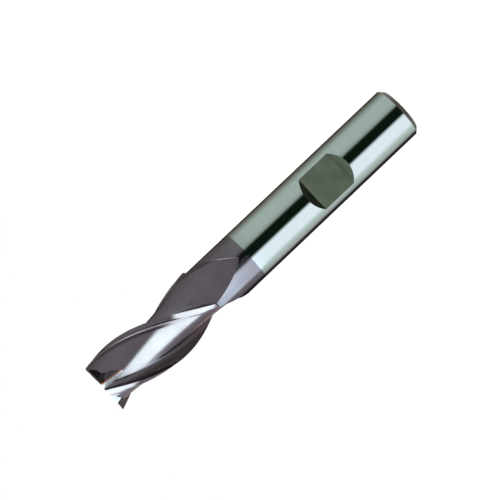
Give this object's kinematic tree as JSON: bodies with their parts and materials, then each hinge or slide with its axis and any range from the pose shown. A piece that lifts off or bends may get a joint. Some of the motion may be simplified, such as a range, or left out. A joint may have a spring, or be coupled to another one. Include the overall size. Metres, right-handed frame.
{
  "type": "end mill",
  "caption": "Helical end mill with a straight shank, a side clamping flat, relieved lands, gashed end teeth and a dark coating on the cutting part",
  "frame": {"origin": "centre of the flat end face of the shank, which the tool stands on", "axes": "+Z runs along the tool's axis from the shank end to the cutting end; -Y is the way the clamping flat faces; +X completes a right-handed frame"},
  "size_m": [0.013, 0.013, 0.085],
  "materials": {
    "high_speed_steel": "ground steel, with a dark violet-brown coating on the cutting part"
  },
  "bodies": {
    "root": {"end_mill": "high_speed_steel"}
  },
  "joints": []
}
